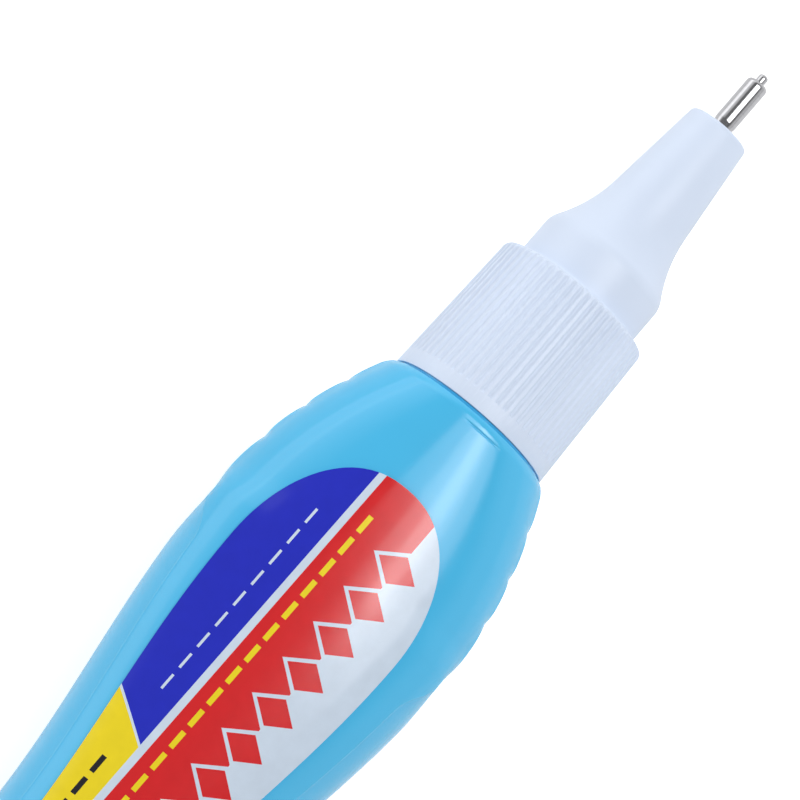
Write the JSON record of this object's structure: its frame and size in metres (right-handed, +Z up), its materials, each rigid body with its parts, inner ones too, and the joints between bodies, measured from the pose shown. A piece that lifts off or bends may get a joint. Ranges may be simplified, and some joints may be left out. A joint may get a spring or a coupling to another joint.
{
  "type": "correction pen",
  "caption": "Squeeze-bottle correction pen with a ribbed screw nozzle and a spring-loaded steel needle tip, lying label up.",
  "frame": {"origin": "middle of the pen's length and width, on the surface that it lies on", "axes": "+X along the pen's axis to its tip, +Z up through the front label, +Y across"},
  "size_m": [0.128, 0.0264, 0.0171],
  "materials": {
    "bottle_plastic": "smooth semi-gloss sky blue",
    "label_film": "printed film in blue, red, yellow and white fields, no lettering",
    "nozzle_plastic": "satin moulded white",
    "seal_foam": "matte",
    "steel": "polished",
    "spring_steel": "drawn wire",
    "retainer_plastic": "natural"
  },
  "bodies": {
    "bottle_body": {"bottle": "bottle_plastic", "front_label": "label_film", "back_label": "label_film"},
    "seal_body": {"neck_seal": "seal_foam"},
    "nozzle_body": {"nozzle": "nozzle_plastic", "tip_barrel": "steel", "spring_retainer": "retainer_plastic", "valve_spring": "spring_steel"},
    "needle_body": {"valve_needle": "steel"},
    "ball_body": {"mixing_ball": "steel"}
  },
  "joints": [
    {"name": "nozzle_lift", "type": "slide", "parent": "bottle_body", "child": "seal_body", "axis": [1, 0, 0], "range_m": [0, 0.0053]},
    {"name": "nozzle_turn", "type": "hinge", "parent": "seal_body", "child": "nozzle_body", "pos_m": [0.024, 0, 0.00849], "axis": [1, 0, 0], "range_deg": [0, 900]},
    {"name": "needle_press", "type": "slide", "parent": "nozzle_body", "child": "needle_body", "axis": [-1, 0, 0], "range_m": [0, 0.0005], "stiffness_N_per_m": 300, "springref_m": -0.0007, "deforming": ["valve_spring"]},
    {"name": "ball_roll", "type": "slide", "parent": "bottle_body", "child": "ball_body", "axis": [1, 0, 0], "range_m": [-0.023, 0.055]}
  ],
  "couplings": [
    {"joint": "nozzle_lift", "follows": "nozzle_turn", "m_per_rad": 0.00033423}
  ]
}
